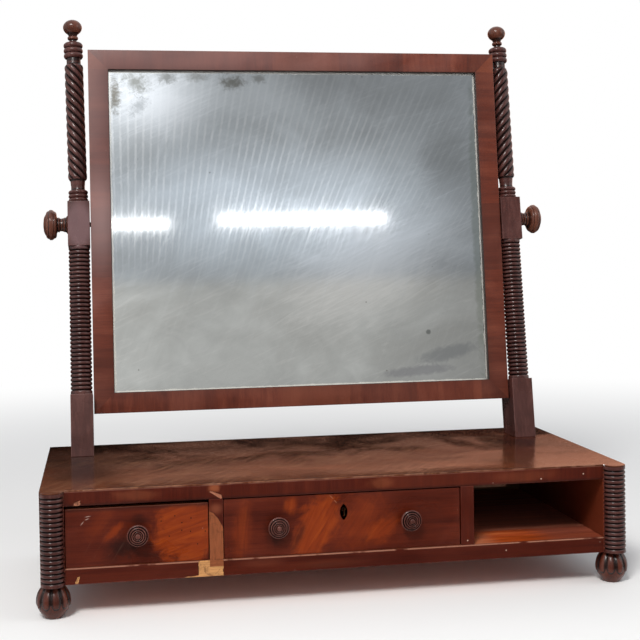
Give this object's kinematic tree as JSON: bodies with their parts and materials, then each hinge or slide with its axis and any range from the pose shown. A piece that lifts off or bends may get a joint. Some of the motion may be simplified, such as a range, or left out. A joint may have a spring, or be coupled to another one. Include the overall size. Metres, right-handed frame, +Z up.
{
  "type": "vanity mirror with drawer",
  "caption": "Dressing mirror that tilts between two leaning turned uprights on a low drawer box, with sliding drawers, a lock bolt, clamp knobs and one empty bay.",
  "frame": {"origin": "on the table, under the middle of the whole object", "axes": "+X to the right of a person facing the mirror, +Y from the drawer fronts to the back, +Z up"},
  "size_m": [0.6614, 0.3386, 0.6844],
  "materials": {
    "case_veneer": "aged french polish over figured veneer",
    "drawer_veneer": "aged french polish over flame figured veneer",
    "frame_veneer": "aged french polish",
    "turned_wood": "aged french polish over turned solid wood",
    "drawer_lining": "unpolished, darkened with age",
    "pine": "unpolished, dry and dusty",
    "mirror_plate": "silvered glass, foxed and spotted",
    "brass": "tarnished",
    "iron": "blackened"
  },
  "bodies": {
    "case": {"back_left_foot": "turned_wood", "back_panel": "pine", "back_right_foot": "turned_wood", "base_board": "pine", "bottom_rail": "case_veneer", "frieze_rail": "case_veneer", "front_left_foot": "turned_wood", "front_right_foot": "turned_wood", "glue_blocks": "pine", "kickers": "pine", "left_column": "turned_wood", "left_finial": "turned_wood", "left_muntin": "case_veneer", "left_partition": "pine", "left_side": "case_veneer", "left_twist_column": "turned_wood", "left_upright": "turned_wood", "right_column": "turned_wood", "right_finial": "turned_wood", "right_muntin": "case_veneer", "right_partition": "pine", "right_side": "case_veneer", "right_twist_column": "turned_wood", "right_upright": "turned_wood", "top_board": "case_veneer", "upright_screws": "iron"},
    "mirror": {"backboard_pins": "iron", "glass_blocks": "pine", "left_nut_plate": "brass", "mirror_backboard": "pine", "mirror_bottom_rail": "frame_veneer", "mirror_glass": "mirror_plate", "mirror_left_stile": "frame_veneer", "mirror_right_stile": "frame_veneer", "mirror_top_rail": "frame_veneer", "nut_plate_screws": "brass", "right_nut_plate": "brass"},
    "left_clamp": {"left_clamp_knob": "turned_wood", "left_clamp_screw": "iron"},
    "right_clamp": {"right_clamp_knob": "turned_wood", "right_clamp_screw": "iron"},
    "left_drawer": {"left_drawer_back": "drawer_lining", "left_drawer_bottom": "drawer_lining", "left_drawer_front": "drawer_veneer", "left_drawer_knob": "turned_wood", "left_drawer_left_side": "drawer_lining", "left_drawer_right_side": "drawer_lining"},
    "centre_drawer": {"centre_drawer_back": "drawer_lining", "centre_drawer_bottom": "drawer_lining", "centre_drawer_front": "drawer_veneer", "centre_drawer_left_knob": "turned_wood", "centre_drawer_left_side": "drawer_lining", "centre_drawer_right_knob": "turned_wood", "centre_drawer_right_side": "drawer_lining", "keyhole_escutcheon": "brass", "lock_case": "brass", "lock_screws": "brass"},
    "lock_bolt": {"lock_bolt": "brass"}
  },
  "joints": [
    {"name": "mirror_tilt", "type": "hinge", "parent": "case", "child": "mirror", "pos_m": [0, 0.11662, 0.41925], "axis": [1, 0, 0], "continuous": true},
    {"name": "left_clamp_turn", "type": "hinge", "parent": "case", "child": "left_clamp", "pos_m": [0, 0.11662, 0.41925], "axis": [-1, 0, 0], "range_deg": [0, 360]},
    {"name": "right_clamp_turn", "type": "hinge", "parent": "case", "child": "right_clamp", "pos_m": [0, 0.11662, 0.41925], "axis": [1, 0, 0], "range_deg": [0, 360]},
    {"name": "left_drawer_slide", "type": "slide", "parent": "case", "child": "left_drawer", "axis": [0, -1, 0], "range_m": [0, 0.2]},
    {"name": "centre_drawer_slide", "type": "slide", "parent": "case", "child": "centre_drawer", "axis": [0, -1, 0], "range_m": [0, 0.2]},
    {"name": "lock_bolt_throw", "type": "slide", "parent": "centre_drawer", "child": "lock_bolt", "axis": [0, 0, 1], "range_m": [0, 0.0055]}
  ]
}
